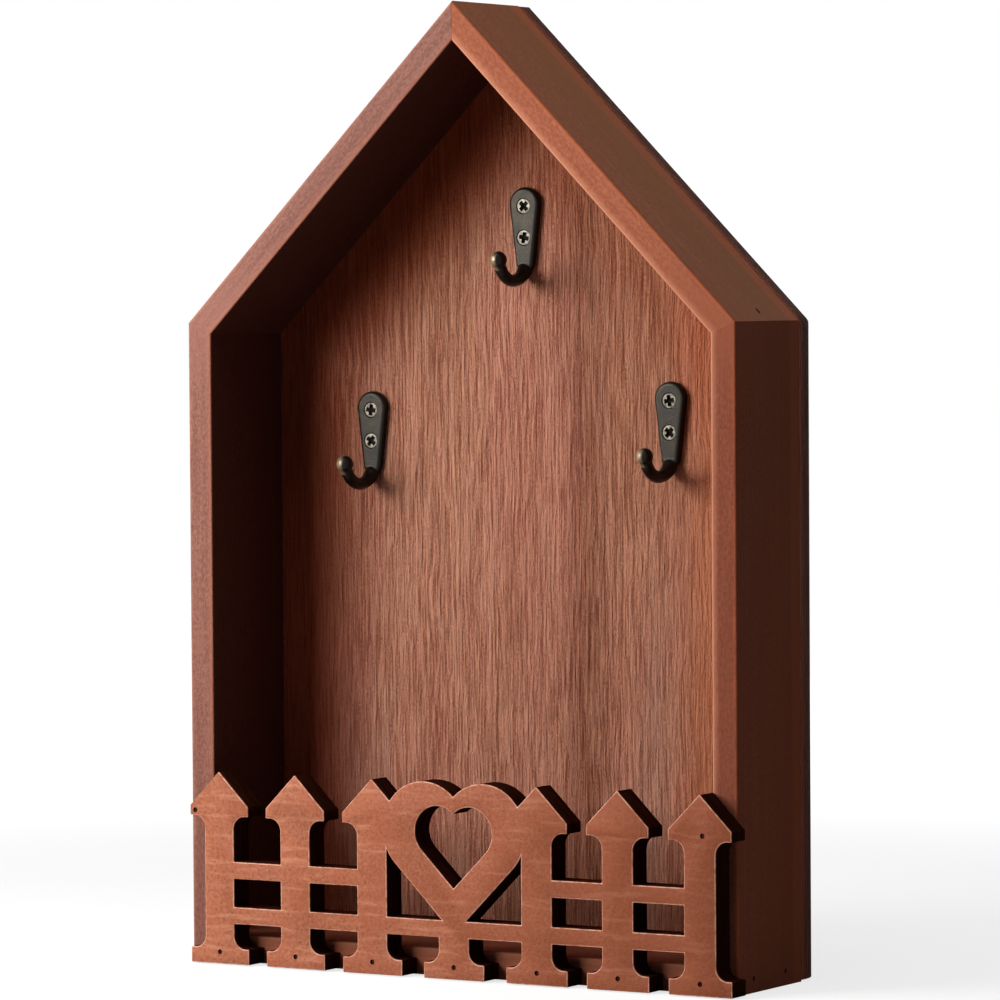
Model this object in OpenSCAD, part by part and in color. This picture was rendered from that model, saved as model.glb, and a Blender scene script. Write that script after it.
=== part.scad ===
// House-shaped key holder for a wall, millimetres, +Z up, front towards -Y.
// The origin is the centre of the body's underside, so the body stands on z = 0.
// Five mitred and butted boards make the house frame, a panel closes the whole back, a sawn
// fretwork board holds letters in at the front, and three cast hooks are screwed inside.

/* [House body] */
// Outside width of the house frame
body_w = 200; // [180:2:230]
// Height of the eaves, where the side boards end
eave_h = 205; // [190:1:230]
// Rise of the ridge above the eaves
roof_rise = 100; // [85:1:115]
// Depth of the frame boards, front to back
frame_d = 41; // [36:1:55]
// Thickness of the frame boards
board_t = 8.8; // [7.6:0.2:10.4]
// Rounding of the boards' front arrises
front_ease = 0.8; // [0.4:0.1:1.4]
// Rounding of the arrises on both sides of the seam between frame and back panel
seam_ease = 0.4; // [0.2:0.1:0.8]

/* [Back panel] */
// Thickness of the back panel
back_t = 8; // [7.4:0.2:10]
// Rounding of the panel's corners at the eaves
panel_eave_r = 8; // [4:0.5:10]
// Rounding of the panel's corner at the ridge
panel_ridge_r = 0.4; // [0.4:0.1:2]
// Rounding of the panel's two bottom corners
panel_foot_r = 2; // [1:0.5:4]
// Rounding of the panel's back arris
panel_ease = 2.2; // [1:0.1:3]

/* [Front fretwork] */
// Thickness of the sawn board
fret_t = 9; // [7:0.5:12]
// Height of the sawn board
fret_h = 61.5; // [58:0.5:70]
// Height of the sawn board's lower edge above the body's underside
fret_lift = 0.4; // [0.2:0.1:0.8]
// Distance that the board's left end stays inside the body's left side
fret_in = 5.5; // [4:0.5:7]
// Distance that the board's right end stands past the body's right side
fret_over = 2.6; // [1:0.2:4]
// Width of a post's shaft
post_w = 11; // [9:0.5:13]
// Width of a post's foot and of its gabled head
foot_w = 22; // [19:0.5:24]
// Height of the foot below its concave bracket
foot_h = 5; // [4:0.5:6.5]
// Height of the head's flat sides under the gable
head_h = 3.2; // [2.4:0.2:4.4]
// Radius of the concave brackets between shaft and foot or head
bracket_r = 4; // [3:0.25:4.5]
// Height of a rail
rail_h = 5.4; // [4:0.2:7]
// Width of the heart
heart_w = 52; // [46:1:56]
// Width of the heart's opening
heart_hole_w = 28; // [24:1:30]
// Distance from the heart's top down to the top of its opening
heart_rim = 7.5; // [6:0.5:9]
// Width by which the heart runs into the posts beside it
heart_bite = 1.5; // [1:0.25:2.5]

/* [Hooks] */
// Distance of the middle hook's plate top below the ridge
top_hook_drop = 57.5; // [50:0.5:66]
// Place of the middle hook to the right of the centre line
top_hook_x = 2.7; // [-6:0.1:6]
// Distance of the left hook's plate top below the eaves
left_hook_drop = 22.5; // [16:0.5:34]
// Distance of the right hook's plate top below the eaves
right_hook_drop = 19; // [16:0.5:34]
// Distance of the two lower hooks from the centre line
side_hook_x = 55.2; // [48:0.2:62]
// Thickness of a hook's plate
plate_t = 2.5; // [2.2:0.1:3.4]
// Length of a hook's plate
plate_l = 27; // [26:0.5:31]
// Width of the plate's round top
plate_top_w = 10.9; // [10:0.1:13]
// Width of the plate's narrow lower end
plate_low_w = 6.4; // [5.4:0.1:7.4]
// Thickness of the bent arm
arm_d = 3.9; // [3.4:0.1:4.6]
// Radius of the bend, at the arm's middle
bend_r = 9.4; // [8.6:0.1:11]
// Diameter of the knob at the arm's end
knob_d = 5.4; // [4.8:0.1:6.6]
// Angle by which the arm stops short of standing upright
knob_lean = 17; // [0:1:24]
// Distance from the plate's top down to the first screw
screw_top_in = 6; // [5.6:0.1:7]
// Distance between a hook's two screws
screw_pitch = 10; // [9:0.1:11]

/* [Screws and brads] */
// Diameter of a screw's head
screw_head_d = 4.8; // [4.4:0.1:5.2]
// Height of the countersunk cone under the head
screw_cone_h = 1.2; // [1:0.1:1.4]
// Depth of the head's face below the plate that it holds
screw_sink = 0.25; // [0.1:0.05:0.35]
// Diameter of a screw's shank
shank_d = 2.4; // [2:0.1:2.8]
// Depth that a hook's screw reaches into the back panel
screw_bite = 5.5; // [4.5:0.25:6.5]
// Diameter of a brad's shank
brad_d = 1; // [0.8:0.1:1.2]
// Diameter of a brad's head
brad_head_d = 1.5; // [1.3:0.1:1.8]
// Length of a brad
brad_l = 15; // [13:0.5:18]
// Depth to which the brads' heads are sunk below the wood
brad_sink = 0.5; // [0.3:0.1:0.9]
// Clearance round screws and brads
drill_gap = 0.06; // [0.04:0.01:0.1]

/* [Wall hangers] */
// Distance of each hanger from the centre line
hanger_x = 45; // [38:1:50]
// Height of the hangers' middle above the eaves
hanger_rise = 17; // [12:1:22]
// Length of a hanger plate
hanger_l = 40; // [37:1:44]
// Width of a hanger plate, with round ends
hanger_w = 14; // [13:0.5:16]
// Thickness of a hanger plate
hanger_t = 1.8; // [1.4:0.1:2.2]
// Diameter of the keyhole's round entry
keyhole_d = 8.5; // [7.5:0.25:9.5]
// Width of the keyhole's slot
slot_w = 4.4; // [3.6:0.2:5]
// Distance that the wall screw travels from the entry up the slot
slot_travel = 9; // [7:0.5:11]
// Depth of the hollow behind the keyhole, below the hanger plate
hollow_deep = 4; // [3.4:0.1:4.6]
// Distance between a hanger plate's two screws
hanger_pitch = 29; // [27.5:0.5:31]
// Depth that a hanger's screw reaches into the back panel
hanger_bite = 4; // [3:0.25:4.75]
// Clearance round a hanger plate in its recess
recess_gap = 0.15; // [0.1:0.05:0.3]

/* [Hidden] */
$fn = 64;

// Colours of the woods and metals
edge_brown = [0.62, 0.36, 0.27];
roof_brown = [0.45, 0.27, 0.20];
panel_brown = [0.52, 0.27, 0.19];
fret_brown = [0.68, 0.39, 0.28];
bronze_black = [0.13, 0.11, 0.10];
bright_steel = [0.72, 0.72, 0.72];
zinc_steel = [0.62, 0.64, 0.66];
brad_grey = [0.16, 0.13, 0.12];

// Body planes and slopes
half_w = body_w / 2;
body_d = frame_d + back_t;
front_y = -body_d / 2;
panel_y = front_y + frame_d;
wall_y = body_d / 2;
ridge_h = eave_h + roof_rise;
roof_a = atan2(roof_rise, half_w);
roof_len = norm([half_w, roof_rise]);
inner_x = half_w - board_t;
inner_ridge_h = ridge_h - board_t / cos(roof_a);
inner_eave_h = inner_ridge_h - inner_x * tan(roof_a);
slack = 1;

// Fretwork posts, counted from the left end to the right end
fret_l = -half_w + fret_in;
fret_r = half_w + fret_over;
fret_mid = (fret_l + fret_r) / 2;
fret_top = fret_lift + fret_h;
first_post = heart_w / 2 + post_w / 2 - heart_bite;
last_post = (fret_r - fret_l - foot_w) / 2;
posts_a_side = 3;
post_step = (last_post - first_post) / (posts_a_side - 1);
post_x = [for (s = [-1, 1], i = [0 : posts_a_side - 1]) fret_mid + s * (first_post + i * post_step)];

// A heart is a square on its corner with a circle on each upper side
heart_wide = 1 + sqrt(2) / 2;
heart_tall = 3 * sqrt(2) / 4 + 1 / 2;
heart_side = heart_w / heart_wide;
heart_tip = fret_top - heart_side * heart_tall;
hole_side = heart_hole_w / heart_wide;
hole_tip = fret_top - heart_rim - hole_side * heart_tall;
tip_bite = 1;
low_rail = heart_tip - tip_bite;
gable_foot = fret_top - foot_w / 2 * tan(roof_a);
shaft_top = gable_foot - head_h;
high_rail = (low_rail + shaft_top - rail_h) / 2;

// Brads: the fretwork's lower row, its two ends, and the frame's own. The corner brads pass
// clear of the points of the brads that come through the fretwork and the back panel.
foot_brad_z = 4.2;
end_brad_in = 7.4;
end_brad_z = shaft_top + head_h / 2;
brad_clear = 3.2;
brad_head_h = 0.6;
drill_over = 0.3;
corner_brad_in = [brad_l + brad_sink - fret_t + brad_clear,
    frame_d - (brad_l + brad_sink - back_t + brad_clear)];
corner_brad_z = board_t / 2;
eave_brad_in = 3.1;
eave_brad_back = 20;
eave_brad_y = front_y + eave_brad_back;
eave_brad_z = ridge_h - (half_w - eave_brad_in) * tan(roof_a);
panel_brad_end = 26;
side_brads = 4;
roof_brads = 3;
base_brads = 3;

// Hooks: each place is [x, height of the plate's top]
hook_at = [[top_hook_x, ridge_h - top_hook_drop], [-side_hook_x, eave_h - left_hook_drop],
    [side_hook_x, eave_h - right_hook_drop]];
plate_top_r = plate_top_w / 2;
plate_low_r = plate_low_w / 2;
// The arm starts in a thicker root, whose middle lies in the plate's lower end
arm_start = 34;
root_more = 1;
root_below = 1;
root_d = arm_d + root_more;
bend_y = -plate_t / 2 - bend_r * cos(arm_start);
bend_z = -plate_l + root_d / 2 - root_below + bend_r * sin(arm_start);
// Cross recess in a screw's head, narrower at its floor
cross_w = 1.1;
cross_l = 3.2;
cross_floor = 1.4;
cross_deep = 1.2;

hanger_z = eave_h + hanger_rise;
entry_drop = 0.5;
entry_dz = -slot_travel / 2 - entry_drop;
hollow_more = 1.5;
hollow_w = keyhole_d + hollow_more;

body_outline = [[-half_w, 0], [half_w, 0], [half_w, eave_h], [0, ridge_h], [-half_w, eave_h]];

// Points of a polygon whose corners are rounded, one radius for each corner
function unit(v) = v / norm(v);
function corner_arc(a, p, b, r, steps) =
    let (u = unit(a - p), v = unit(b - p), half = acos(u * v) / 2,
        c = p + unit(u + v) * r / sin(half), first = p + u * r / tan(half) - c,
        start = atan2(first[1], first[0]), turn = 180 - 2 * half)
    [for (i = [0 : steps]) c + r * [cos(start + turn * i / steps), sin(start + turn * i / steps)]];
function rounded(pts, radii, steps = 6) =
    let (n = len(pts))
    [for (i = [0 : n - 1]) each corner_arc(pts[(i + n - 1) % n], pts[i], pts[(i + 1) % n], radii[i], steps)];

// Extrudes a front view, drawn as x and z, from one y to another
module front_view(from_y, to_y) {
    translate([0, to_y, 0]) rotate([90, 0, 0]) linear_extrude(to_y - from_y) children();
}

// What a rounding of radius r takes off a corner at the origin, in the first quadrant
module corner_waste(r) {
    difference() {
        translate([-slack, -slack]) square(r + slack);
        translate([r, r]) circle(r);
    }
}

// Section of a frame board: thickness along x, depth along y, its front at y = 0
module board_section() {
    difference() {
        square([board_t, frame_d]);
        corner_waste(front_ease);
        translate([board_t, 0]) mirror([1, 0]) corner_waste(front_ease);
        translate([0, frame_d]) mirror([0, 1]) corner_waste(seam_ease);
    }
}

// Hole for a brad along +Z, its mouth at the origin
module brad_hole() {
    translate([0, 0, -slack])
        cylinder(h = slack + brad_sink + brad_head_h + drill_gap, d = brad_head_d + 2 * drill_gap);
    cylinder(h = brad_sink + brad_l + drill_over, d = brad_d + 2 * drill_gap);
}

// A brad in its hole
module brad() {
    translate([0, 0, brad_sink]) {
        cylinder(h = brad_head_h, d = brad_head_d);
        cylinder(h = brad_l, d = brad_d);
    }
}

// The brads' places: children go to each mouth, pointing into the wood
module at_fretwork_brads() {
    for (x = concat(post_x, fret_mid))
        translate([x, front_y - fret_t, foot_brad_z]) rotate([-90, 0, 0]) children();
    for (s = [-1, 1])
        translate([s * (half_w - end_brad_in), front_y - fret_t, end_brad_z]) rotate([-90, 0, 0]) children();
}

module at_corner_brads() {
    for (s = [-1, 1], y = corner_brad_in)
        translate([s * half_w, front_y + y, corner_brad_z]) rotate([0, -90 * s, 0]) children();
}

module at_eave_brads() {
    for (s = [-1, 1])
        translate([s * (half_w - eave_brad_in), eave_brad_y, eave_brad_z]) rotate([180, 0, 0]) children();
}

// Even places from one end to the other, the same distance in from both
function spread(len_, n) = [for (i = [0 : n - 1]) panel_brad_end + (len_ - 2 * panel_brad_end) * i / (n - 1)];

module at_panel_brads() {
    in = board_t / 2;
    for (s = [-1, 1]) {
        for (z = spread(eave_h, side_brads))
            translate([s * (half_w - in), wall_y, z]) rotate([90, 0, 0]) children();
        for (l = spread(roof_len, roof_brads))
            translate([s * (half_w - l * cos(roof_a) - in * sin(roof_a)), wall_y,
                eave_h + l * sin(roof_a) - in * cos(roof_a)]) rotate([90, 0, 0]) children();
    }
    for (x = spread(body_w, base_brads))
        translate([x - half_w, wall_y, in]) rotate([90, 0, 0]) children();
}

// Frame boards, s = -1 on the left and 1 on the right
module side_board(s) {
    difference() {
        intersection() {
            front_view(front_y - slack, panel_y + slack)
                polygon([[s * half_w, 0], [s * half_w, eave_h], [s * inner_x, inner_eave_h],
                    [s * inner_x, 0]]);
            mirror([s < 0 ? 0 : 1, 0, 0])
                translate([-half_w, front_y, 0]) linear_extrude(ridge_h) board_section();
        }
        at_corner_brads() brad_hole();
        at_eave_brads() brad_hole();
        at_fretwork_brads() brad_hole();
        at_panel_brads() brad_hole();
    }
}

module roof_board(s) {
    difference() {
        intersection() {
            front_view(front_y - slack, panel_y + slack)
                polygon([[s * half_w, eave_h], [0, ridge_h], [0, inner_ridge_h],
                    [s * inner_x, inner_eave_h]]);
            mirror([s < 0 ? 0 : 1, 0, 0])
                translate([-half_w, front_y, eave_h]) rotate([0, 90 - roof_a, 0])
                    translate([0, 0, -board_t]) linear_extrude(roof_len + 2 * board_t) board_section();
        }
        at_eave_brads() brad_hole();
        at_panel_brads() brad_hole();
    }
}

module left_side() { color(edge_brown) side_board(-1); }
module right_side() { color(edge_brown) side_board(1); }
module left_roof() { color(roof_brown) roof_board(-1); }
module right_roof() { color(roof_brown) roof_board(1); }

module bottom_board() {
    color(edge_brown)
    difference() {
        translate([-inner_x, front_y, 0]) rotate([90, 0, 90]) linear_extrude(2 * inner_x)
            rotate(90) mirror([0, 1]) board_section();
        at_corner_brads() brad_hole();
        at_fretwork_brads() brad_hole();
        at_panel_brads() brad_hole();
    }
}

// Plate with round ends, and the keyhole in it, seen from behind as x and z
module slot_2d(w, dz_low, dz_high) {
    translate([-w / 2, dz_low]) square([w, dz_high - dz_low]);
    translate([0, dz_low]) circle(d = w);
    translate([0, dz_high]) circle(d = w);
}

module hanger_outline(gap) {
    w = hanger_w + 2 * gap;
    slot_2d(w, -(hanger_l - hanger_w) / 2, (hanger_l - hanger_w) / 2);
}

module at_hangers() {
    for (s = [-1, 1]) translate([s * hanger_x, 0, hanger_z]) children();
}

module at_hanger_screws() {
    for (dz = [-hanger_pitch / 2, hanger_pitch / 2])
        translate([0, wall_y, dz]) rotate([90, 0, 0]) children();
}

module back_panel() {
    ease = min(panel_ease, back_t / 2);
    color(panel_brown)
    difference() {
        front_view(panel_y, wall_y)
            polygon(rounded(body_outline,
                [panel_foot_r, panel_foot_r, panel_eave_r, panel_ridge_r, panel_eave_r]));
        for (i = [0 : 4]) {
            a = body_outline[i];
            b = body_outline[(i + 1) % 5];
            way = atan2(b[1] - a[1], b[0] - a[0]);
            translate([a[0], wall_y, a[1]]) rotate([0, -way, 0])
                translate([-panel_ease, 0, 0]) rotate([0, 90, 0])
                    linear_extrude(norm(b - a) + 2 * panel_ease)
                        mirror([1, 0]) mirror([0, 1]) corner_waste(ease);
        }
        at_panel_brads() brad_hole();
        at_hangers() {
            front_view(wall_y - hanger_t, wall_y + slack) hanger_outline(recess_gap);
            front_view(wall_y - hanger_t - hollow_deep, wall_y)
                slot_2d(hollow_w, entry_dz, entry_dz + slot_travel);
            at_hanger_screws() cylinder(h = hanger_t + hanger_bite + drill_over, d = shank_d + 2 * drill_gap);
        }
        for (at = hook_at) translate([at[0], panel_y, at[1]]) at_hook_screws()
            cylinder(h = plate_t + screw_bite + drill_over, d = shank_d + 2 * drill_gap);
    }
}

// Front view of a post about x = 0: foot, shaft and a gabled head that repeats the roof's slope
module post_2d() {
    foot = foot_w / 2;
    shaft = post_w / 2;
    bracket = min(bracket_r, foot - shaft);
    low = fret_lift + foot_h;
    translate([-shaft, low]) square([post_w, shaft_top - low]);
    translate([-foot, fret_lift]) square([foot_w, foot_h]);
    polygon([[-foot, shaft_top], [foot, shaft_top], [foot, gable_foot], [0, fret_top], [-foot, gable_foot]]);
    for (s = [-1, 1], end = [[low, 1], [shaft_top, -1]]) translate([s * shaft, end[0]])
        mirror([s < 0 ? 1 : 0, 0]) mirror([0, end[1] < 0 ? 1 : 0]) difference() {
            square(bracket);
            translate([bracket, bracket]) circle(bracket);
        }
}

// The short stake under the heart's tip has a post's foot and shaft
module stake_2d() {
    intersection() {
        post_2d();
        translate([-foot_w, 0]) square([2 * foot_w, low_rail + rail_h / 2]);
    }
}

module heart_2d(side) {
    rotate(45) {
        square(side);
        translate([side / 2, side]) circle(d = side);
        translate([side, side / 2]) circle(d = side);
    }
}

module front_fretwork() {
    color(fret_brown)
    difference() {
        front_view(front_y - fret_t, front_y) difference() {
            union() {
                for (x = post_x) translate([x, 0]) post_2d();
                translate([fret_mid - last_post, low_rail]) square([2 * last_post, rail_h]);
                for (s = [-1, 1])
                    translate([fret_mid + s * (first_post + last_post) / 2, high_rail + rail_h / 2])
                        square([last_post - first_post, rail_h], center = true);
                translate([fret_mid, heart_tip]) heart_2d(heart_side);
                translate([fret_mid, 0]) stake_2d();
            }
            translate([fret_mid, hole_tip]) heart_2d(hole_side);
        }
        at_fretwork_brads() brad_hole();
    }
}

// A hook in its own place: plate back at y = 0, plate top at z = 0, arm towards -y
module plate_2d() {
    gap = plate_l - plate_top_r - plate_low_r;
    lean = asin((plate_top_r - plate_low_r) / gap);
    top = [0, -plate_top_r];
    low = [0, -plate_l + plate_low_r];
    side = [cos(lean), -sin(lean)];
    across = [-side[0], side[1]];
    translate(top) circle(plate_top_r);
    translate(low) circle(plate_low_r);
    polygon([top + plate_top_r * side, low + plate_low_r * side, low + plate_low_r * across,
        top + plate_top_r * across]);
}

module at_hook_screws() {
    for (dz = [screw_top_in, screw_top_in + screw_pitch])
        translate([0, -plate_t, -dz]) rotate([-90, 0, 0]) children();
}

// Hole for a countersunk screw through a plate, from the plate's face at z = 0
module countersink(plate) {
    mouth_more = screw_sink * (screw_head_d - shank_d) / screw_cone_h;
    translate([0, 0, -slack]) cylinder(h = plate + 2 * slack, d = shank_d + 2 * drill_gap);
    cylinder(h = screw_sink + screw_cone_h, d1 = screw_head_d + mouth_more + 2 * drill_gap,
        d2 = shank_d + 2 * drill_gap);
}

module hook(place) {
    color(bronze_black)
    translate([place[0], panel_y, place[1]])
    difference() {
        union() {
            front_view(-plate_t, 0) plate_2d();
            translate([0, bend_y, bend_z]) rotate([-90, 0, 90]) {
                rotate(arm_start) rotate_extrude(angle = 180 - arm_start - knob_lean)
                    translate([bend_r, 0]) circle(d = arm_d);
                rotate(arm_start) translate([bend_r, 0]) sphere(d = root_d);
                rotate(180 - knob_lean) translate([bend_r, 0]) sphere(d = knob_d);
            }
        }
        translate([-plate_top_w, 0, -2 * plate_l]) cube([2 * plate_top_w, plate_t, 3 * plate_l]);
        at_hook_screws() countersink(plate_t);
    }
}

module hook_top() { hook(hook_at[0]); }
module hook_left() { hook(hook_at[1]); }
module hook_right() { hook(hook_at[2]); }

// Countersunk screw along +Z, in a plate whose face is at z = 0
module screw(reach) {
    difference() {
        union() {
            translate([0, 0, screw_sink]) cylinder(h = screw_cone_h, d1 = screw_head_d, d2 = shank_d);
            translate([0, 0, screw_sink]) cylinder(h = reach - screw_sink, d = shank_d);
        }
        intersection() {
            for (turn = [0, 90]) rotate(turn)
                translate([-cross_l, -cross_w / 2, 0]) cube([2 * cross_l, cross_w, screw_sink + cross_deep]);
            translate([0, 0, screw_sink]) cylinder(h = cross_deep, d1 = cross_l, d2 = cross_floor);
        }
    }
}

module hook_screws() {
    color(bright_steel)
    for (at = hook_at) translate([at[0], panel_y, at[1]]) at_hook_screws()
        screw(plate_t + screw_bite);
}

module fretwork_brads() { color(brad_grey) at_fretwork_brads() brad(); }
module corner_brads() { color(brad_grey) at_corner_brads() brad(); }
module eave_brads() { color(brad_grey) at_eave_brads() brad(); }
module panel_brads() { color(brad_grey) at_panel_brads() brad(); }

module hanger(s) {
    color(zinc_steel)
    translate([s * hanger_x, 0, hanger_z])
    difference() {
        front_view(wall_y - hanger_t, wall_y) difference() {
            hanger_outline(0);
            slot_2d(slot_w, entry_dz, entry_dz + slot_travel);
            translate([0, entry_dz]) circle(d = keyhole_d);
        }
        at_hanger_screws() countersink(hanger_t);
    }
}

module hanger_left() { hanger(-1); }
module hanger_right() { hanger(1); }

module hanger_screws() {
    color(zinc_steel) at_hangers() at_hanger_screws() screw(hanger_t + hanger_bite);
}

left_side();
right_side();
left_roof();
right_roof();
bottom_board();
back_panel();
front_fretwork();
hook_top();
hook_left();
hook_right();
hook_screws();
fretwork_brads();
corner_brads();
eave_brads();
panel_brads();
hanger_left();
hanger_right();
hanger_screws();
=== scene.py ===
# %% [markdown]
# # A wooden key holder shaped like a house
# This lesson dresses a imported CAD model: five stained boards and a back panel make a small house,
# a sawn fretwork board makes a letter pocket, and three cast hooks are screwed inside.
# The CAD parts that already have the right shape keep it and only get a finish. The fretwork, the
# hooks, the screws and the hanger plates get new meshes with eased arrises and cast curves.

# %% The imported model, which fixes every size and place
import math

import bpy
from mathutils import Matrix, Vector


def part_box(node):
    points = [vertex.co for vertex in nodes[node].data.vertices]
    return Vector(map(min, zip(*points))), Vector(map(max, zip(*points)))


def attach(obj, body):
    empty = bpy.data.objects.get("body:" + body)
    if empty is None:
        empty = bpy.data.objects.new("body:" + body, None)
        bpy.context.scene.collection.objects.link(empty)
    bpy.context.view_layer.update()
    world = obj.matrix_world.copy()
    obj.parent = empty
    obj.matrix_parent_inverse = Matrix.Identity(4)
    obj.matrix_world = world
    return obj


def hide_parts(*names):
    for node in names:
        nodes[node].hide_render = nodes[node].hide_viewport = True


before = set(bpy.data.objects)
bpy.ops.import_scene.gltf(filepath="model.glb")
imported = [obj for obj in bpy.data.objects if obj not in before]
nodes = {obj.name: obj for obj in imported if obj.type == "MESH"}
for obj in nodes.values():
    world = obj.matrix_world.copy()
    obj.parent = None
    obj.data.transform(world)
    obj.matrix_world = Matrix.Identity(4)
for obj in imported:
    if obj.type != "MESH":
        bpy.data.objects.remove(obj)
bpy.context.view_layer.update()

mm = 0.001

# %% [markdown]
# ## The camera
# A long lens far away flattens a product, and this one stands to the right of the house and looks
# down a little. Its place and lens were found by fitting the corners of the body to the picture, so
# the render can be laid over it, and the pitch was then trimmed by a hair, so that the ridge stays
# clear of the picture's top edge. The camera is built from its yaw, pitch and roll, because three
# named angles are easier to read and change than a rotation matrix.

# %% Camera
YAW, PITCH, ROLL = (math.radians(a) for a in (31.0, -2.186, -0.37))
CAMERA_AT = (0.89316, -1.48343, 0.21473)
LENS_MM, SENSOR_MM = 197.43, 36
ahead = Vector((-math.sin(YAW) * math.cos(PITCH), math.cos(YAW) * math.cos(PITCH), math.sin(PITCH)))
level = Vector((math.cos(YAW), math.sin(YAW), 0))
upward = level.cross(ahead)
right = math.cos(ROLL) * level + math.sin(ROLL) * upward
above = math.cos(ROLL) * upward - math.sin(ROLL) * level

camera = bpy.data.objects.new("camera", bpy.data.cameras.new("camera"))
bpy.context.collection.objects.link(camera)
camera.data.sensor_width = SENSOR_MM
camera.data.lens = LENS_MM
turn = Matrix((right, above, -ahead)).transposed().to_4x4()
camera.matrix_world = Matrix.Translation(CAMERA_AT) @ turn
bpy.context.scene.camera = camera
print("camera lens in mm:", camera.data.lens)

# %% [markdown]
# ## Making node trees short to write
# A material is a small network, and a few helpers keep each one readable. `put` adds a node and
# wires or sets its sockets in one call, and the words after it name the sums, blends and noises that
# return all the time. `new_group` opens a shader node group with named sockets, which is how one
# effect, such as wood grain, is built once and used in many materials.

# %% Nodes and sums
def put(tree, kind, inputs=None, **settings):
    """Adds a node. inputs is a dict of socket name or number to a value or to another node's output."""
    made = tree.nodes.new(kind)
    for name, value in settings.items():
        setattr(made, name, value)
    for name, value in (inputs or {}).items():
        if isinstance(value, bpy.types.NodeSocket):
            tree.links.new(value, made.inputs[name])
        else:
            made.inputs[name].default_value = value
    return made


def calc(tree, operation, *values, clamp=False):
    sockets = dict(enumerate(values))
    return put(tree, "ShaderNodeMath", sockets, operation=operation, use_clamp=clamp).outputs[0]


def plus(tree, a, b):
    return calc(tree, "ADD", a, b)


def minus(tree, a, b):
    return calc(tree, "SUBTRACT", a, b)


def times(tree, a, b):
    return calc(tree, "MULTIPLY", a, b)


def vector(tree, operation, a, b, output=0):
    return put(tree, "ShaderNodeVectorMath", {0: a, 1: b}, operation=operation).outputs[output]


def dot(tree, a, b):
    return vector(tree, "DOT_PRODUCT", a, b, "Value")


def parted(tree, place):
    """The X, Y and Z of a place."""
    return put(tree, "ShaderNodeSeparateXYZ", {0: place}).outputs


def object_place(tree):
    """The shaded point in the object's own coordinates, in metres."""
    return tree.nodes.new("ShaderNodeTexCoord").outputs["Object"]


def between(tree, value, low, high, out_low=0.0, out_high=1.0):
    """Maps low..high smoothly to out_low..out_high, and holds the ends."""
    sockets = {"Value": value, "From Min": low, "From Max": high, "To Min": out_low, "To Max": out_high}
    return put(tree, "ShaderNodeMapRange", sockets, interpolation_type="SMOOTHSTEP").outputs[0]

# %% Colours and noises
def srgb(red, green, blue):
    """A colour as a paint program shows it, 0 to 255, as the linear values that a shader needs."""
    def linear(c):
        c /= 255
        return c / 12.92 if c <= 0.04045 else ((c + 0.055) / 1.055) ** 2.4
    return linear(red), linear(green), linear(blue), 1.0


def blend(tree, share, a, b, how="MIX"):
    """Blends colour a towards colour b by share."""
    return put(tree, "ShaderNodeMix", {0: share, 6: a, 7: b}, data_type="RGBA", blend_type=how).outputs[2]


def stain(tree, colour, shade, mask, strength):
    """Lays a shade over a colour where the mask says so, and as thickly as strength says."""
    return blend(tree, times(tree, mask, strength), colour, shade)


def noise(tree, place, scale, detail=2, roughness=0.5, colour=False):
    sockets = {"Vector": place, "Scale": scale, "Detail": detail, "Roughness": roughness}
    return put(tree, "ShaderNodeTexNoise", sockets).outputs["Color" if colour else "Fac"]


def long_noise(tree, place, per_metre, detail=3, roughness=0.5):
    """Noise with a size of its own along X, Y and Z: per_metre spots to the metre each way."""
    return noise(tree, vector(tree, "MULTIPLY", place, per_metre), 1.0, detail, roughness)


def stirred(tree, place, amount, scale, detail, roughness):
    """Pushes a place about by a smooth noise, up to half of amount each way."""
    push = noise(tree, place, scale, detail, roughness, colour=True)
    push = vector(tree, "SUBTRACT", push, (0.5, 0.5, 0.5))
    push = put(tree, "ShaderNodeVectorMath", {0: push, "Scale": amount}, operation="SCALE").outputs[0]
    return vector(tree, "ADD", place, push)

# %% Groups and materials
FLOAT, VECTOR = "NodeSocketFloat", "NodeSocketVector"


def new_group(name, inputs, outputs):
    """Opens a group. inputs is a list of (label, kind, value), outputs a list of (label, kind)."""
    group = bpy.data.node_groups.new(name, "ShaderNodeTree")
    for label, kind, value in inputs:
        socket = group.interface.new_socket(label, in_out="INPUT", socket_type=kind)
        socket.default_value = value
    for label, kind in outputs:
        group.interface.new_socket(label, in_out="OUTPUT", socket_type=kind)
    start = group.nodes.new("NodeGroupInput")
    end = group.nodes.new("NodeGroupOutput")
    return group, start.outputs, end.inputs


def use(tree, group, place, **values):
    """Places a group in a material. place feeds its Vector, and values set its other sockets."""
    made = put(tree, "ShaderNodeGroup", None, node_tree=group)
    tree.links.new(place, made.inputs["Vector"])
    for label, value in values.items():
        made.inputs[label.replace("_", " ")].default_value = value
    return made.outputs


def new_material(name, **uniform):
    """Opens a material. uniform sets values on the Principled BSDF's own sockets."""
    material = bpy.data.materials.new(name)
    material.use_nodes = True
    sockets = material.node_tree.nodes["Principled BSDF"].inputs
    for label, value in uniform.items():
        sockets[label.replace("_", " ")].default_value = value
    return material, material.node_tree


def wire(tree, **varying):
    """Leads what changes over the surface into the Principled BSDF's sockets."""
    sockets = tree.nodes["Principled BSDF"].inputs
    for label, value in varying.items():
        tree.links.new(value, sockets[label.replace("_", " ")])


def bumped(tree, height, strength, distance):
    """The normal that a height from 0 to 1 gives, where 1 stands distance metres proud."""
    sockets = {"Height": height, "Strength": strength, "Distance": distance}
    return put(tree, "ShaderNodeBump", sockets).outputs[0]

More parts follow.
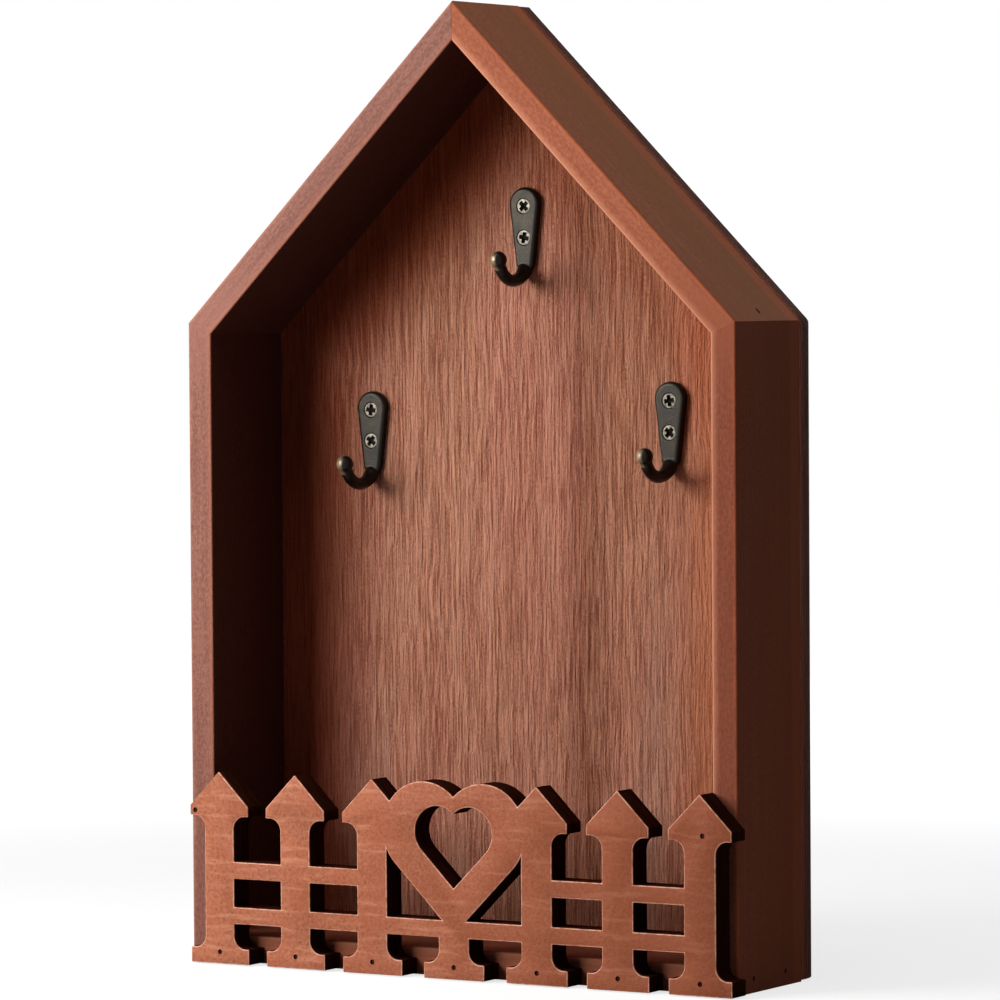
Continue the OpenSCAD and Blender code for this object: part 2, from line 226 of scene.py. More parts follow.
# %% [markdown]
# ## The room
# A thing on white needs three things: a floor that is white yet keeps the soft shadow, a world that
# is white where the camera looks but only dim where it lights, and lamps that set the mood. Light
# Path tells a material which kind of ray asks. Rays from the camera, and those that shine off or
# through something, see white; rays that only carry soft light see a dim world.

# %% Rays that see the white background
WHITE = (1, 1, 1, 1)


def seen_white(tree):
    path = tree.nodes.new("ShaderNodeLightPath").outputs
    seen = plus(tree, path["Is Camera Ray"], path["Is Glossy Ray"])
    return calc(tree, "ADD", seen, path["Is Transmission Ray"], clamp=True)


# %% World, and colours shown as they are
WORLD_LIGHT = 0.02
bpy.context.scene.view_settings.view_transform = "Standard"
world = bpy.data.worlds.new("white_room")
bpy.context.scene.world = world
world.use_nodes = True
tree = world.node_tree
glow = tree.nodes["Background"].inputs
glow["Color"].default_value = WHITE
tree.links.new(between(tree, seen_white(tree), 0, 1, WORLD_LIGHT, 1.0), glow["Strength"])

# %% Floor, white but for the shadow
FLOOR_SIZE = 12
SHADOW_NEAR, SHADOW_FAR = 0.3, 0.8
bpy.ops.mesh.primitive_grid_add(x_subdivisions=2, y_subdivisions=2, size=FLOOR_SIZE, location=(0, 0, 0))
floor = bpy.context.object
floor.name = "floor"
floor_paint, tree = new_material("floor_paint", Roughness=1.0, Specular_IOR_Level=0.0,
    Base_Color=(0.3, 0.3, 0.3, 1), Emission_Color=WHITE)
from_middle = vector(tree, "LENGTH", object_place(tree), (0, 0, 0), "Value")
far = between(tree, from_middle, SHADOW_NEAR, SHADOW_FAR, 0.75, 1.0)
wire(tree, Emission_Strength=times(tree, far, seen_white(tree)))
floor.data.materials.append(floor_paint)

# %% [markdown]
# ## The lamps
# The shadows tell where the light was. The side board's edge shades the panel over about 45 mm in a
# very soft band, and each knob's shadow lies to the right and a little low. So the main lamp is a
# large soft box at the left front, a little above level and rather near. A weaker lamp over the roof
# lights its slope, a faint one at the right lifts the side that is turned away, and one behind shows
# the back when the house is turned round.

# %% Soft boxes
AIM = Vector((0, 0, 0.16))


def soft_box(name, azimuth, elevation, distance, size, watts):
    """A square lamp that faces the house. Azimuth 0 is straight in front, and it grows to the left."""
    a, e = math.radians(azimuth), math.radians(elevation)
    away = Vector((-math.sin(a) * math.cos(e), -math.cos(a) * math.cos(e), math.sin(e)))
    lamp = bpy.data.objects.new(name, bpy.data.lights.new(name, "AREA"))
    bpy.context.collection.objects.link(lamp)
    lamp.data.shape = "RECTANGLE"
    lamp.data.size = lamp.data.size_y = size
    lamp.data.energy = watts
    facing = away.to_track_quat("Z", "Y").to_matrix().to_4x4()
    lamp.matrix_world = Matrix.Translation(AIM + distance * away) @ facing


soft_box("key_lamp", azimuth=38, elevation=15, distance=0.62, size=0.34, watts=5.0)
soft_box("top_lamp", azimuth=10, elevation=72, distance=0.85, size=0.55, watts=3.0)
soft_box("side_lamp", azimuth=-98, elevation=12, distance=1.0, size=0.7, watts=0.5)
soft_box("back_lamp", azimuth=180, elevation=8, distance=1.2, size=0.9, watts=5.0)

# %% [markdown]
# ## Wood grain as a node group
# Stained softwood shows three things at three sizes: broad bands that take more or less stain, thin
# lines along the grain, and short open pores that hold the darkest stain. One group makes all three
# from stretched noise. It reads a position whose Z runs along the grain, in metres, so every board
# turns its own coordinates with a Mapping node and gives the group real sizes.

# %% Grain group
PORE_SHORTER = (1.0, 1.0, 2.6)
BAND_LONGER = 9
grain, given, gives = new_group("plank_grain",
    [("Vector", VECTOR, (0, 0, 0)), ("Line Width", FLOAT, 0.0007), ("Line Length", FLOAT, 0.012),
     ("Band Width", FLOAT, 0.012), ("Wander", FLOAT, 0.0008)],
    [("Lines", FLOAT), ("Pores", FLOAT), ("Bands", FLOAT)])
wavy = stirred(grain, given["Vector"], given["Wander"], 28, 2, 0.5)
line_size = {0: given["Line Width"], 1: given["Line Width"], 2: given["Line Length"]}
stretched = vector(grain, "DIVIDE", wavy, put(grain, "ShaderNodeCombineXYZ", line_size).outputs[0])
lines = noise(grain, stretched, 0.5, 4, 0.62)
grain.links.new(between(grain, lines, 0.32, 0.68), gives["Lines"])
pores = noise(grain, vector(grain, "MULTIPLY", stretched, PORE_SHORTER), 0.9, 1, 0.4)
grain.links.new(between(grain, pores, 0.60, 0.70), gives["Pores"])
band_length = times(grain, given["Band Width"], BAND_LONGER)
band_size = {0: given["Band Width"], 1: given["Band Width"], 2: band_length}
broad = vector(grain, "DIVIDE", wavy, put(grain, "ShaderNodeCombineXYZ", band_size).outputs[0])
grain.links.new(between(grain, noise(grain, broad, 0.5, 3, 0.55), 0.3, 0.7), gives["Bands"])
print("group", grain.name, "with", len(grain.nodes), "nodes")

# %% [markdown]
# ## Rubbed arrises, painted highlights and tight joints
# Hands and sandpaper take the stain off an arris first, so it shows as a pale, ragged line. On small
# shapes such as a hook, Cycles has a Bevel node that says which way the surface would face if its
# edges were rounded: where that differs from the true normal, there is an edge. A straight board can
# do better. Its faces are planes, so the distance to two of them gives a band of exact width along
# the arris between them, and noise makes the band's border wander. On the boards' inner arrises the
# band is also a painted highlight, palest on the right boards, whose inner arrises face the lamp. The
# same distance gives the thin dark line where two boards meet in a mitre.

# %% Worn edge group, for small shapes
wear, given, gives = new_group("rubbed_edge",
    [("Vector", VECTOR, (0, 0, 0)), ("Radius", FLOAT, 0.001), ("Ragged", FLOAT, 0.6)], [("Mask", FLOAT)])
rounded = put(wear, "ShaderNodeBevel", {"Radius": given["Radius"]}, samples=6).outputs[0]
same = dot(wear, rounded, wear.nodes.new("ShaderNodeNewGeometry").outputs["Normal"])
edge = between(wear, minus(wear, 1.0, same), 0.02, 0.22)
chips = between(wear, noise(wear, given["Vector"], 420, 3, 0.6), 0.35, 0.6)
kept = minus(wear, 1.0, times(wear, given["Ragged"], chips))
wear.links.new(times(wear, edge, kept), gives["Mask"])

# %% Arris band group, for boards
arris, given, gives = new_group("arris_band",
    [("Vector", VECTOR, (0, 0, 0)), ("Across", VECTOR, (1, 0, 0)), ("Offset", FLOAT, 0.0),
     ("Front", FLOAT, 0.0), ("Width", FLOAT, 0.001), ("Depth", FLOAT, 0.001), ("Ragged", FLOAT, 0.3)],
    [("Mask", FLOAT)])
wander = minus(arris, noise(arris, given["Vector"], 90, 4, 0.62), 0.5)
wander = times(arris, wander, times(arris, given["Ragged"], 4.0))
grow = plus(arris, 1.0, wander)
aside = minus(arris, given["Offset"], dot(arris, given["Vector"], given["Across"]))
behind = minus(arris, parted(arris, given["Vector"])[1], given["Front"])
near_side = between(arris, aside, 0.0, times(arris, given["Width"], grow), 1.0, 0.0)
near_front = between(arris, behind, 0.0, times(arris, given["Depth"], grow), 1.0, 0.0)
arris.links.new(times(arris, near_side, near_front), gives["Mask"])

# %% Mitre group
mitre, given, gives = new_group("mitre_line",
    [("Vector", VECTOR, (0, 0, 0)), ("Across", VECTOR, (1, 0, 0)), ("Offset", FLOAT, 0.0),
     ("Width", FLOAT, 0.00016)], [("Line", FLOAT)])
along = dot(mitre, given["Vector"], given["Across"])
gap = calc(mitre, "ABSOLUTE", minus(mitre, along, given["Offset"]))
mitre.links.new(calc(mitre, "LESS_THAN", gap, given["Width"]), gives["Line"])
print("groups:", [g.name for g in bpy.data.node_groups])

# %% [markdown]
# ## The frame boards
# All five boards are the same stained wood, yet each is its own plank: the grain runs along it, up a
# side board, down a roof slope or across the bottom. The CAD boards keep their meshes, whose front
# arrises are already rounded, and each gets a material of its own from one recipe. What changes from
# board to board is the grain's turn and offset, the planes of its faces and mitres, and its colours.
# The right side board's darker colours are painted shade, where the light falls off to the lower
# right, and the inner faces of the left boards and the bottom board are painted darker as shade.

# %% Where the boards' faces and joints lie
front_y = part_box("left_side")[0].y
frame_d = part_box("left_side")[1].y - front_y
half_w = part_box("right_side")[1].x
board_t = half_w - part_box("right_side")[0].x
inner_x = half_w - board_t
eave_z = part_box("right_side")[1].z
ridge_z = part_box("right_roof")[1].z
slope = math.atan2(ridge_z - eave_z, half_w)
top_at = ridge_z * math.cos(slope)
LEFT, RIGHT = -1, 1
side_planes, roof_planes = {}, {}
for side in (LEFT, RIGHT):
    aside = Vector((side, 0, 0))
    uphill = Vector((side * math.sin(slope), 0, math.cos(slope)))
    side_planes[side] = ((aside, half_w), (aside, inner_x))
    roof_planes[side] = ((uphill, top_at), (uphill, top_at - board_t))
down = Vector((0, 0, -1))
bottom_planes = ((down, 0.0), (down, -board_t))
ridge_mitre = (Vector((1, 0, 0)), 0.0)
print("roof slope in degrees:", round(math.degrees(slope), 2))

# %% Grain and marks of a frame board
def board_grain(tree, turned, pale, deep, figure):
    """A board's first colour, and the heights of its fine lines and its pores."""
    wood = use(tree, grain, turned, Line_Width=0.0009, Line_Length=0.03, Band_Width=0.006, Wander=0.0012)
    suede = between(tree, long_noise(tree, turned, (1100, 1100, 650), 4, 0.65), 0.25, 0.75)
    lines = plus(tree, times(tree, wood["Lines"], figure), times(tree, suede, 1 - figure))
    colour = blend(tree, between(tree, lines, 0.1, 0.9), deep, pale)
    return stain(tree, colour, deep, wood["Bands"], 0.35), lines, wood["Pores"]


def dashed(tree, turned, colour, strength):
    """Short dark marks, tilted a little to the grain, and pale specks between them."""
    tilt = {"Vector": turned, "Rotation": (0, math.radians(20), 0), "Scale": (2600, 1500, 800)}
    tilted = put(tree, "ShaderNodeMapping", tilt).outputs[0]
    marks = between(tree, noise(tree, tilted, 1.0, 2, 0.5), 0.54, 0.68)
    specks = between(tree, noise(tree, turned, 1500, 2, 0.5), 0.60, 0.72)
    colour = stain(tree, colour, srgb(96, 50, 38), marks, strength)
    return stain(tree, colour, srgb(190, 134, 112), specks, 0.4 * strength)

# %% Outer face, arrises and joints of a frame board
STRIP_FROM, STRIP_FULL = 0.0054, 0.0030


def outer_face(tree, place, turned, colour, plane, skin, bare, strip):
    """Stain of the outer face, which thickens towards the wall, and a bare strip before the seam."""
    way, at = plane
    behind = minus(tree, parted(tree, place)[1], front_y)
    outside = between(tree, minus(tree, at, dot(tree, place, way)), 0.0002, 0.0007, 1.0, 0.0)
    soft = long_noise(tree, turned, (60, 60, 9))
    reach = between(tree, plus(tree, behind, times(tree, soft, 0.012)), 0.0, frame_d, 0.35, 0.8)
    colour = stain(tree, colour, skin, outside, reach)
    rear = plus(tree, behind, times(tree, soft, 0.003))
    rear = between(tree, rear, frame_d - STRIP_FROM, frame_d - STRIP_FULL)
    return stain(tree, colour, bare, times(tree, outside, rear), strip)


def front_arrises(tree, place, colour, planes, rub_and_highlight, outer):
    """Rubs the outer arris thinly, and the inner one in a broad glow with a narrow line on it, which are
    wear and a painted highlight.
    """
    (out_way, out_at), (in_way, in_at) = planes
    for way, at, width, depth, ragged, shade, strength in (
            (out_way, out_at, 0.0015, 0.0009, 0.8, outer, 0.6),
            (-in_way, -in_at, 0.0030, 0.0012, 0.2, rub_and_highlight, 0.4),
            (-in_way, -in_at, 0.0011, 0.0010, 0.1, rub_and_highlight, 0.55)):
        band = use(tree, arris, place, Across=way, Offset=at, Front=front_y, Width=width, Depth=depth,
            Ragged=ragged)
        colour = stain(tree, colour, shade, band["Mask"], strength)
    return colour


def joints(tree, place, colour, mitres):
    """A dark glue line at each mitre, given as (across, offset)."""
    for across, at in mitres:
        joint = use(tree, mitre, place, Across=across, Offset=at)
        colour = stain(tree, colour, srgb(52, 22, 15), joint["Line"], 0.35)
    return colour

# %% Recipe for a frame board
EAVE_REACH = 0.028


def frame_wood(name, lean, offset, planes, mitres, pale, deep, eave, rub_and_highlight, outer, skin, sheen, figure,
        dashes, strip, painted_inner_shade):
    """Stained board. lean turns the grain about Y, in degrees, and offset moves it along the plank.
    planes are the outer and inner face, each as (across, offset). pale and deep colour the grain,
    eave the wood near the eaves, rub the inner arris, as wear and a painted highlight, and outer the
    outer one; skin is the stain of the outer face. sheen is the gloss, and figure, dashes, strip and
    hidden say how strong the grain, the short dark marks, the bare strip before the seam and the
    painted shade on the inner face are."""
    material, tree = new_material(name, Specular_IOR_Level=sheen)
    place = object_place(tree)
    set_out = {"Vector": place, "Rotation": (0, math.radians(lean), 0), "Location": offset}
    turned = put(tree, "ShaderNodeMapping", set_out).outputs[0]
    colour, lines, pores = board_grain(tree, turned, pale, deep, figure)
    off_eave = calc(tree, "ABSOLUTE", minus(tree, parted(tree, place)[2], eave_z))
    colour = blend(tree, between(tree, off_eave, 0.0, EAVE_REACH, 0.65, 0.0), colour, eave)
    if dashes:
        colour = dashed(tree, turned, colour, dashes)
    colour = stain(tree, colour, srgb(84, 38, 28), pores, 0.4 * figure)
    colour = outer_face(tree, place, turned, colour, planes[0], skin, outer, strip)
    colour = front_arrises(tree, place, colour, planes, rub_and_highlight, outer)
    colour = joints(tree, place, colour, mitres)
    # The inner face is painted dark brown as shade, for the shade inside the pocket; the share is set per
    # board.
    in_way, in_at = planes[1]
    depth = minus(tree, dot(tree, place, in_way), in_at)
    colour = blend(tree, between(tree, depth, 0.0001, 0.0004, painted_inner_shade, 0.0), colour, srgb(46, 13, 6))
    wire(tree, Base_Color=colour, Roughness=between(tree, lines, 0, 1, 0.60, 0.52),
        Normal=bumped(tree, lines, 0.25 + 0.5 * dashes, 0.00025))
    return material


def dress(node_name, material):
    """Gives a CAD node one material all over."""
    slots = nodes[node_name].data.materials
    slots.clear()
    slots.append(material)

# %% Each board's grain and colours
lean = math.degrees(slope)
# clay and cream colour the inner arrises as wear and a painted highlight; cream, on the right boards whose
# inner arrises face the lamp, is the brighter one.
rosy, dusk, clay = srgb(151, 99, 84), srgb(120, 73, 60), srgb(172, 104, 78)
salmon, rust, ember = srgb(180, 112, 85), srgb(154, 86, 62), srgb(190, 98, 62)
cream, umber, soot = srgb(232, 160, 126), srgb(146, 93, 59), srgb(130, 68, 44)
corner, chestnut = srgb(158, 90, 67), srgb(100, 50, 32)
dress("left_side", frame_wood("left_side_wood", lean=0, offset=(0, 0, 0),
    planes=side_planes[LEFT], mitres=[], pale=rosy, deep=dusk, eave=rosy, rub_and_highlight=clay,
    outer=srgb(180, 124, 102), skin=chestnut, sheen=0.15, figure=0.3, dashes=0.4, strip=0.1, painted_inner_shade=0.92))
dress("left_roof", frame_wood("left_roof_wood", lean=-lean, offset=(0.1, 0.5, 0.3),
    planes=roof_planes[LEFT], mitres=[ridge_mitre], pale=rosy, deep=dusk, eave=rosy, rub_and_highlight=clay,
    outer=srgb(178, 116, 92), skin=chestnut, sheen=0.15, figure=0.3, dashes=0.25, strip=0.2, painted_inner_shade=0.92))
dress("right_roof", frame_wood("right_roof_wood", lean=lean, offset=(0.7, 0.2, 0.1),
    planes=roof_planes[RIGHT], mitres=[ridge_mitre], pale=salmon, deep=rust, eave=corner, rub_and_highlight=cream,
    outer=ember, skin=umber, sheen=0.01, figure=0.25, dashes=0.0, strip=0.5, painted_inner_shade=0.0))
# The right side board's colours are darker than the other boards' as painted shade, where the light falls
# off towards the lower right.
dress("right_side", frame_wood("right_side_wood", lean=0, offset=(0.31, 0.1, 0.2),
    planes=side_planes[RIGHT], mitres=[], pale=srgb(152, 88, 67), deep=srgb(130, 71, 52), eave=corner,
    rub_and_highlight=cream, outer=ember, skin=soot, sheen=0.006, figure=0.25, dashes=0.0, strip=0.15, painted_inner_shade=0.0))
dress("bottom_board", frame_wood("bottom_board_wood", lean=90, offset=(0.2, 0.9, 0.6),
    planes=bottom_planes, mitres=[], pale=srgb(160, 92, 68), deep=rust, eave=rust,
    rub_and_highlight=srgb(206, 134, 102), outer=ember, skin=umber, sheen=0.08, figure=0.4, dashes=0.1, strip=0.2,
    painted_inner_shade=0.4))
print("boards:", [m.name for m in bpy.data.materials if m.name.endswith("_wood")])

# %% [markdown]
# ## The back panel
# The panel is the show surface: rough, open grain that runs up the whole wall, pale on its ridges
# and dark in its dips. Two sizes of the grain group and a crumbly noise make the ridges, and short
# gouges add to their height, which drives a deep bump so that the side light rakes over it. The
# colour isn't even either. Large soft zones shift the stain's tone. A darker, redder painted shade
# lies along the left side and roof boards, where their shadow falls, a paler painted sheen lies in
# the middle, a warmer painted bounce light from the right boards lies towards the right, and one
# darker streak runs up the panel. A shade that multiplies keeps the grain's contrast, where a plain
# blend would hide it.

# %% Panel ridges
panel_wood, tree = new_material("panel_wood", Specular_IOR_Level=0.01)
place = object_place(tree)
broad_grain = use(tree, grain, place, Line_Width=0.0005, Line_Length=0.06, Band_Width=0.010, Wander=0.004)
fine_grain = use(tree, grain, place, Line_Width=0.00024, Line_Length=0.009, Band_Width=0.003, Wander=0.0015)
gouges = use(tree, grain, place, Line_Width=0.0007, Line_Length=0.006, Band_Width=0.004, Wander=0.006)
crumbs = minus(tree, long_noise(tree, place, (2000, 2000, 1100), 4, 0.65), 0.5)
ridges = plus(tree, times(tree, broad_grain["Lines"], 0.35), times(tree, fine_grain["Lines"], 0.65))
brushed = plus(tree, ridges, times(tree, crumbs, 1.2))

# %% Panel tones
zone = between(tree, long_noise(tree, place, (28, 28, 5)), 0.35, 0.65)
dip = blend(tree, zone, srgb(160, 94, 69), srgb(178, 95, 78))
crest = blend(tree, zone, srgb(216, 150, 116), srgb(226, 147, 125))
colour = blend(tree, between(tree, brushed, 0.0, 1.0), dip, crest)
greyed = between(tree, long_noise(tree, place, (36, 20, 7)), 0.5, 0.68, 0.0, 0.6)
colour = blend(tree, greyed, colour, srgb(184, 140, 119))
checks = between(tree, long_noise(tree, place, (800, 800, 50)), 0.66, 0.74, 0.0, 0.7)
colour = blend(tree, checks, colour, srgb(84, 38, 26))
colour = stain(tree, colour, srgb(158, 84, 58), broad_grain["Bands"], 0.4)
colour = stain(tree, colour, srgb(84, 38, 24), fine_grain["Pores"], 0.15)

# %% Panel stain and painted light, by the distance from the frame and from the middle
STREAK_X = 0.024
across, inward, _ = parted(tree, place)
behind = minus(tree, inward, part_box("back_panel")[0].y)
edge = between(tree, behind, 0.0001, 0.0005)
show = minus(tree, 1.0, edge)
rims = [minus(tree, at, dot(tree, place, way))
    for _, (way, at) in (side_planes[LEFT], roof_planes[LEFT], roof_planes[RIGHT])]
to_rim = calc(tree, "MINIMUM", calc(tree, "MINIMUM", rims[0], rims[1]), rims[2])
# A paler painted sheen in the middle of the panel, away from the frame, strongest on the ridges.
painted_sheen_zone = times(tree, between(tree, to_rim, 0.016, 0.042), between(tree, across, 0.0, 0.07, 0.8, 0.6))
patches = between(tree, long_noise(tree, place, (60, 60, 9)), 0.3, 0.6, 0.45, 1.0)
on_ridges = between(tree, brushed, 0.1, 0.7, 0.3, 0.75)
colour = stain(tree, colour, srgb(226, 163, 135), times(tree, painted_sheen_zone, patches), on_ridges)
streak = calc(tree, "ABSOLUTE", minus(tree, across, STREAK_X))
streak = times(tree, between(tree, streak, 0.002, 0.013, 0.55, 0.0), show)
colour = blend(tree, streak, colour, srgb(194, 182, 178), "MULTIPLY")
# A darker, redder painted shade along the left side and roof boards, where their shadow falls on the panel.
at_left = between(tree, across, -0.02, 0.03, 1.0, 0.1)
painted_rim_shade = times(tree, between(tree, to_rim, 0.008, 0.040, 0.85, 0.0), at_left)
colour = stain(tree, colour, srgb(150, 62, 32), painted_rim_shade, show)
# A warmer, brighter painted bounce light towards the right, from the lit right boards.
colour = stain(tree, colour, srgb(222, 132, 86), between(tree, across, 0.045, 0.078, 0.0, 0.7), show)
hollow = between(tree, brushed, 0.1, 0.6, 0.35, 0.0)
colour = blend(tree, hollow, colour, srgb(160, 120, 104), "MULTIPLY")

# %% Panel edges and back, and its relief
back = between(tree, behind, 0.0068, 0.0079)
colour = stain(tree, colour, srgb(66, 30, 19), edge, between(tree, back, 0, 1, 0.9, 0.45))
lip = times(tree, edge, between(tree, behind, 0.0014, 0.0026, 1.0, 0.0))
colour = stain(tree, colour, srgb(140, 66, 40), lip, 0.8)
relief = plus(tree, times(tree, gouges["Lines"], 0.8), times(tree, brushed, 0.75))
relief = times(tree, relief, between(tree, edge, 0, 1, 1.0, 0.25))
wire(tree, Base_Color=colour, Roughness=between(tree, brushed, 0.1, 0.9, 0.62, 0.5),
    Normal=bumped(tree, relief, 1.0, 0.001))
dress("back_panel", panel_wood)
print("panel_wood has", len(tree.nodes), "nodes")

# %% [markdown]
# ## Edit-mode helpers
# Every new piece is modelled as by hand, with operators that act on what is selected. So each step
# begins by clearing the selection, then picks faces, edges or points in code by their place. These
# helpers are the few words that the rest of the lesson is written in.

# %% Selecting
def deselect():
    bpy.ops.object.select_all(action="DESELECT")


def only(piece):
    """Makes piece the one selected, active object."""
    deselect()
    piece.select_set(True)
    bpy.context.view_layer.objects.active = piece


def edit(piece, mode="FACE"):
    only(piece)
    bpy.ops.object.mode_set(mode="EDIT")
    bpy.ops.mesh.select_mode(type=mode)


def done():
    bpy.ops.object.mode_set(mode="OBJECT")


def whole_mesh():
    bpy.ops.mesh.select_all(action="SELECT")


def pick(piece, test, mode="FACE"):
    """Selects the faces, edges or points that pass the test, and goes to edit mode."""
    edit(piece, mode)
    bpy.ops.mesh.select_all(action="DESELECT")
    done()
    mesh = piece.data
    if mode == "FACE":
        for face in mesh.polygons:
            face.select = test(face.center, face.normal)
    elif mode == "EDGE":
        for e in mesh.edges:
            a, b = (mesh.vertices[i].co for i in e.vertices)
            e.select = test(a, b)
    else:
        for v in mesh.vertices:
            v.select = test(v.co)
    bpy.ops.object.mode_set(mode="EDIT")

# %% Shaping and joining
NUDGE = 0.01 * mm
MIDDLE = (0, 0, 0)


def settle():
    """Puts a new primitive's place, turn and size into its mesh, and hands the object over."""
    bpy.ops.object.transform_apply(location=True, rotation=True, scale=True)
    return bpy.context.object


def draw_out(*way):
    """Extrudes what is selected."""
    bpy.ops.mesh.extrude_region_move(TRANSFORM_OT_translate={"value": way})


def resize(factors, about):
    bpy.ops.transform.resize(value=factors, center_override=about)


def face_outwards():
    whole_mesh()
    bpy.ops.mesh.normals_make_consistent(inside=False)


def modify(piece, kind, **settings):
    """Adds a modifier and applies it at once."""
    only(piece)
    step = piece.modifiers.new(kind.lower(), kind)
    for name, value in settings.items():
        setattr(step, name, value)
    bpy.ops.object.modifier_apply(modifier=step.name)


def cut(piece, cutter):
    """Takes the cutter's shape out of the piece, and the cutter out of the scene."""
    modify(piece, "BOOLEAN", operation="DIFFERENCE", solver="EXACT", object=cutter)
    bpy.data.objects.remove(cutter)


def joined(pieces):
    """Joins pieces into the first one."""
    deselect()
    for piece in pieces:
        piece.select_set(True)
    bpy.context.view_layer.objects.active = pieces[0]
    bpy.ops.object.join()
    return pieces[0]


def smooth(piece, degrees):
    """Shades the piece smooth, but for edges sharper than this."""
    only(piece)
    bpy.ops.object.shade_smooth_by_angle(angle=math.radians(degrees))

# %% From a CAD node to a piece, and the piece in the node's place
def clean_copy(node_name, name):
    """A copy of a CAD node as clean faces: doubles merged, flat triangles dissolved."""
    piece = bpy.data.objects.new(name, nodes[node_name].data.copy())
    bpy.context.collection.objects.link(piece)
    only(piece)
    bpy.ops.mesh.customdata_custom_splitnormals_clear()
    edit(piece)
    whole_mesh()
    bpy.ops.mesh.remove_doubles(threshold=0.002 * mm)
    bpy.ops.mesh.dissolve_limited(angle_limit=math.radians(0.6))
    face_outwards()
    done()
    piece.data.materials.clear()
    return piece


def stands_for(piece, node_name):
    """Puts the piece under the root body in a CAD node's place, and hides that node."""
    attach(piece, "root")
    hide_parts(node_name)
    print(piece.name, "has", len(piece.data.polygons), "faces")

# %% [markdown]
# ## The sawn front
# The front board is thin plywood cut with a fine blade: a flat stained face with a curly figure,
# painted darker towards the right as shade, a crisp arris worn pale and painted paler still as a
# highlight, and walls that the cut left dark, painted almost black as shade. It stands on the CAD
# outline, so the piece is a merged copy of the CAD mesh whose arrises are bevelled. The face, the
# arris and the walls are three finishes, so they are three material slots.

# %% Ply figure group
ply, given, gives = new_group("ply_figure", [("Vector", VECTOR, (0, 0, 0)), ("Curl", FLOAT, 0.004)],
    [("Figure", FLOAT), ("Specks", FLOAT), ("Clouds", FLOAT)])
curled = stirred(ply, given["Vector"], given["Curl"], 45, 3, 0.6)
figure = long_noise(ply, curled, (45, 200, 520), 3, 0.55)
specks = long_noise(ply, given["Vector"], (900, 900, 1500), 1)
clouds = noise(ply, given["Vector"], 60, 3, 0.6)
for label, value, low, high in (("Figure", figure, 0.52, 0.72), ("Specks", specks, 0.64, 0.74),
        ("Clouds", clouds, 0.3, 0.7)):
    ply.links.new(between(ply, value, low, high), gives[label])

# %% Ply face with painted shade, worn arris with a painted highlight, and charred walls with painted shade
face_ply, tree = new_material("fretwork_face", Specular_IOR_Level=0.12)
place = object_place(tree)
wood = use(tree, ply, place)
grit = between(tree, noise(tree, place, 900, 3, 0.65), 0.3, 0.7)
colour = blend(tree, grit, srgb(158, 90, 63), srgb(186, 116, 87))
colour = stain(tree, colour, srgb(172, 94, 62), wood["Clouds"], 0.45)
colour = stain(tree, colour, srgb(214, 146, 114), wood["Figure"], 0.5)
colour = stain(tree, colour, srgb(112, 52, 34), wood["Specks"], 0.55)
# The face is painted darker towards the right as shade, where the light falls off.
painted_falloff_shade = between(tree, parted(tree, place)[0], -0.07, 0.1, 0.0, 0.65)
wire(tree, Base_Color=blend(tree, painted_falloff_shade, colour, srgb(140, 70, 42)),
    Roughness=between(tree, grit, 0, 1, 0.62, 0.52), Normal=bumped(tree, grit, 0.35, 0.00015))

# The bevelled arris: worn pale, and paler still as a painted highlight.
rubbed_and_highlit, tree = new_material("fretwork_arris", Specular_IOR_Level=0.2)
chips = between(tree, noise(tree, object_place(tree), 500, 3, 0.6), 0.42, 0.66)
wire(tree, Base_Color=blend(tree, chips, srgb(222, 162, 136), srgb(184, 112, 84)),
    Roughness=between(tree, chips, 0, 1, 0.5, 0.62))

# The sawn walls: charred dark, and painted almost black as shade.
burnt_and_shaded, tree = new_material("fretwork_walls", Specular_IOR_Level=0.0)
layers = long_noise(tree, object_place(tree), (60, 900, 60), 3, 0.6)
wire(tree, Base_Color=blend(tree, between(tree, layers, 0.35, 0.65), srgb(38, 16, 9), srgb(54, 25, 15)),
    Roughness=between(tree, layers, 0.3, 0.7, 0.75, 0.6), Normal=bumped(tree, layers, 0.4, 0.0002))

# %% Where the fretwork's brads are
BRAD_APART, BRAD_ROOM = 4 * mm, 1.7 * mm


def away_from(point, brad):
    return math.hypot(point.x - brad.x, point.z - brad.z)


brads = []
for v in nodes["fretwork_brads"].data.vertices:
    if all(away_from(v.co, brad) > BRAD_APART for brad in brads):
        brads.append(v.co.copy())
print("brads in the fretwork:", len(brads))

# %% Fretwork piece, with every sharp edge rubbed but those round the brads
ARRIS_W = 0.32 * mm
fretwork = clean_copy("front_fretwork", "sawn_front")
edit(fretwork, "EDGE")
bpy.ops.mesh.select_all(action="DESELECT")
bpy.ops.mesh.edges_select_sharp(sharpness=math.radians(35))
done()
points = fretwork.data.vertices
sharp = set()
for e in fretwork.data.edges:
    middle = (points[e.vertices[0]].co + points[e.vertices[1]].co) / 2
    if e.select and all(away_from(middle, brad) >= BRAD_ROOM for brad in brads):
        sharp.add(e.index)
for group in (fretwork.data.polygons, points):
    for item in group:
        item.select = False
for e in fretwork.data.edges:
    e.select = e.index in sharp
edit(fretwork, "EDGE")
bpy.ops.mesh.bevel(offset=ARRIS_W, segments=2, profile=0.5, affect="EDGES", clamp_overlap=False)
done()
for finish in (face_ply, rubbed_and_highlit, burnt_and_shaded):
    fretwork.data.materials.append(finish)
for face in fretwork.data.polygons:
    face.material_index = 0 if face.normal.y < -0.98 else 1 if face.normal.y < -0.2 else 2
smooth(fretwork, 32)
stands_for(fretwork, "front_fretwork")

